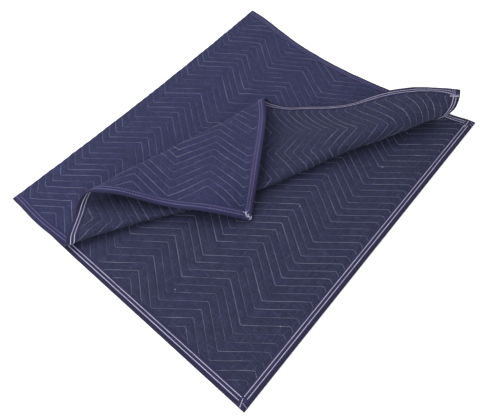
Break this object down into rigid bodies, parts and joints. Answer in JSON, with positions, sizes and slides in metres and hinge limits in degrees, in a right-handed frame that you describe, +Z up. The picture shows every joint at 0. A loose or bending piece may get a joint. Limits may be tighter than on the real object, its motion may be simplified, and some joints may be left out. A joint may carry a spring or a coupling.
{
  "type": "moving blanket",
  "caption": "Quilted moving blanket folded in half, its upper layer turned back with a loose corner, for padding furniture in transport.",
  "frame": {"origin": "middle of the blanket's bounding box, on the ground that it lies on", "axes": "+X along the half fold, from the side with the loose corner; +Y from the lower layer's free end towards the half fold; +Z up"},
  "size_m": [1.126, 0.9186, 0.1145],
  "materials": {
    "navy_quilted_cotton": "matt woven cotton blend",
    "dark_navy_binding": "matt woven tape"
  },
  "bodies": {
    "root": {"quilted_panel": "navy_quilted_cotton", "binding_lower_end": "dark_navy_binding", "binding_upper_end": "dark_navy_binding", "binding_left_side": "dark_navy_binding", "binding_right_side": "dark_navy_binding"}
  },
  "joints": []
}
